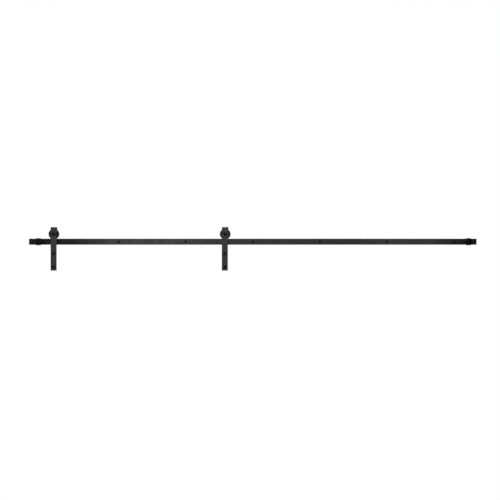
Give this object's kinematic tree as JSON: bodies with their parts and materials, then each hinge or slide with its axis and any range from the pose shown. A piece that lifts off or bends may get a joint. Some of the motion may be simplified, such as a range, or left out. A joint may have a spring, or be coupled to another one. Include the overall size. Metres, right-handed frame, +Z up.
{
  "type": "sliding barn door hardware",
  "caption": "Flat wall-mounted rail on spacers, with bent strap hangers rolling along it on grooved wheels between two clamped end stops.",
  "frame": {"origin": "on the wall plane, on the axis of the middle wall screw, at the rail's mid height", "axes": "+X along the rail, to the right as seen from the room; +Y into the wall; +Z up"},
  "size_m": [3, 0.1124, 0.29],
  "materials": {
    "rail_coat": "fine-textured satin black powder coat",
    "strap_coat": "fine-textured satin black powder coat",
    "stop_coat": "matt black powder coat",
    "fixing_black": "black coated steel",
    "fastener_black": "black oxide steel",
    "wheel_nylon": "moulded black nylon",
    "buffer_rubber": "matt moulded rubber",
    "seal_rubber": "smooth moulded rubber",
    "bearing_steel": "ground bearing steel",
    "cage_steel": "pressed steel",
    "spring_steel": "blackened spring steel"
  },
  "bodies": {
    "track": {"rail": "rail_coat", "wall_spacer_1": "fixing_black", "wall_spacer_2": "fixing_black", "wall_spacer_3": "fixing_black", "wall_spacer_4": "fixing_black", "wall_spacer_5": "fixing_black", "wall_spacer_6": "fixing_black", "wall_spacer_7": "fixing_black", "wall_screws": "fixing_black", "wall_screw_washers": "fixing_black", "left_stop_body": "stop_coat", "left_stop_buffer": "buffer_rubber", "left_stop_screw": "fastener_black", "right_stop_body": "stop_coat", "right_stop_buffer": "buffer_rubber", "right_stop_screw": "fastener_black"},
    "left_hanger": {"left_strap": "strap_coat", "left_axle_bolt": "fastener_black", "left_axle_washer": "fastener_black", "left_axle_nut": "fastener_black", "left_axle_sleeves": "fastener_black", "left_bearing_inner_race": "bearing_steel", "left_door_bolts": "fastener_black", "left_door_washers": "fastener_black", "left_door_nuts": "fastener_black"},
    "left_roller": {"left_wheel": "wheel_nylon", "left_bearing_outer_race": "bearing_steel", "left_bearing_seals": "seal_rubber", "left_wheel_circlip": "spring_steel"},
    "left_ball_set": {"left_bearing_balls": "bearing_steel", "left_bearing_cage": "cage_steel"},
    "right_hanger": {"right_strap": "strap_coat", "right_axle_bolt": "fastener_black", "right_axle_washer": "fastener_black", "right_axle_nut": "fastener_black", "right_axle_sleeves": "fastener_black", "right_bearing_inner_race": "bearing_steel", "right_door_bolts": "fastener_black", "right_door_washers": "fastener_black", "right_door_nuts": "fastener_black"},
    "right_roller": {"right_wheel": "wheel_nylon", "right_bearing_outer_race": "bearing_steel", "right_bearing_seals": "seal_rubber", "right_wheel_circlip": "spring_steel"},
    "right_ball_set": {"right_bearing_balls": "bearing_steel", "right_bearing_cage": "cage_steel"}
  },
  "joints": [
    {"name": "door_travel", "type": "slide", "parent": "track", "child": "left_hanger", "axis": [1, 0, 0], "range_m": [-0.0582, 1.5865]},
    {"name": "left_roller_spin", "type": "hinge", "parent": "left_hanger", "child": "left_roller", "pos_m": [-1.333, -0.038, 0.05085], "axis": [0, 1, 0], "continuous": true},
    {"name": "left_ball_spin", "type": "hinge", "parent": "left_hanger", "child": "left_ball_set", "pos_m": [-1.333, -0.038, 0.05085], "axis": [0, 1, 0], "continuous": true},
    {"name": "right_hanger_travel", "type": "slide", "parent": "track", "child": "right_hanger", "axis": [1, 0, 0], "range_m": [-0.0582, 1.5865]},
    {"name": "right_roller_spin", "type": "hinge", "parent": "right_hanger", "child": "right_roller", "pos_m": [-0.185, -0.038, 0.05085], "axis": [0, 1, 0], "continuous": true},
    {"name": "right_ball_spin", "type": "hinge", "parent": "right_hanger", "child": "right_ball_set", "pos_m": [-0.185, -0.038, 0.05085], "axis": [0, 1, 0], "continuous": true}
  ],
  "couplings": [
    {"joint": "left_roller_spin", "follows": "door_travel", "rad_per_m": 32.52},
    {"joint": "left_ball_spin", "follows": "door_travel", "rad_per_m": 20.695},
    {"joint": "right_roller_spin", "follows": "door_travel", "rad_per_m": 32.52},
    {"joint": "right_ball_spin", "follows": "door_travel", "rad_per_m": 20.695},
    {"joint": "right_hanger_travel", "follows": "door_travel", "ratio": 1}
  ]
}
